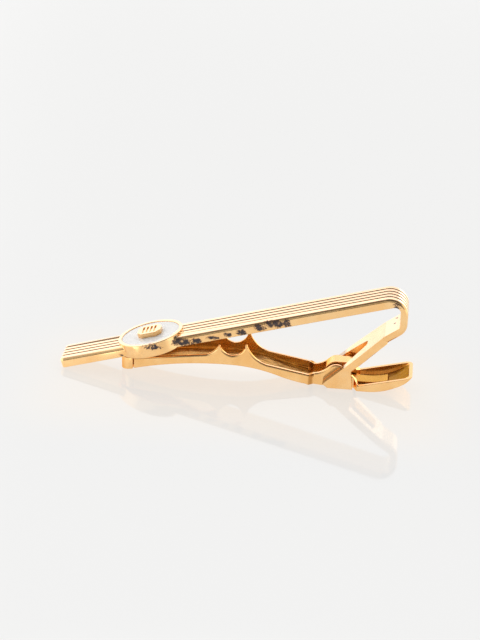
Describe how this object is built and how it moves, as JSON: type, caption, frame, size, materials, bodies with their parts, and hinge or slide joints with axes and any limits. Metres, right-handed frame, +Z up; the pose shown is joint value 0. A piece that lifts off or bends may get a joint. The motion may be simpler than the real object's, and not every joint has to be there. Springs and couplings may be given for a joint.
{
  "type": "tie clip",
  "caption": "Sprung tie clip: a ribbed gilt bar with an oval enamelled cup folds back to a forked leg, where a toothed channel jaw swings on a pin against a hairpin spring.",
  "frame": {"origin": "on the resting plane, straight below the middle of the pivot pin", "axes": "+X along the clip from the bar's free tip towards the fold, +Y across the clip along the pin, +Z up from the resting plane"},
  "size_m": [0.0602, 0.0096, 0.0173],
  "materials": {
    "gilt_bar": "polished gold plating, tarnished and worn in patches",
    "gilt_medallion": "polished gold plating",
    "white_enamel": "glossy white cold enamel",
    "gilt_pin": "polished gold plating",
    "gilt_jaw": "polished gold plating, deeper in tone inside the channel",
    "spring_strip": "gold plated spring strip"
  },
  "bodies": {
    "front": {"front_bar": "gilt_bar", "medallion": "gilt_medallion", "enamel_fill": "white_enamel", "pivot_pin": "gilt_pin"},
    "jaw": {"jaw": "gilt_jaw", "hairpin_spring": "spring_strip"}
  },
  "joints": [
    {"name": "jaw_hinge", "type": "hinge", "parent": "front", "child": "jaw", "pos_m": [0, 0, 0.0021], "axis": [0, -1, 0], "range_deg": [0, 22], "stiffness_Nm_per_rad": 0.05, "springref_deg": -34.38, "deforming": ["hairpin_spring"]}
  ]
}
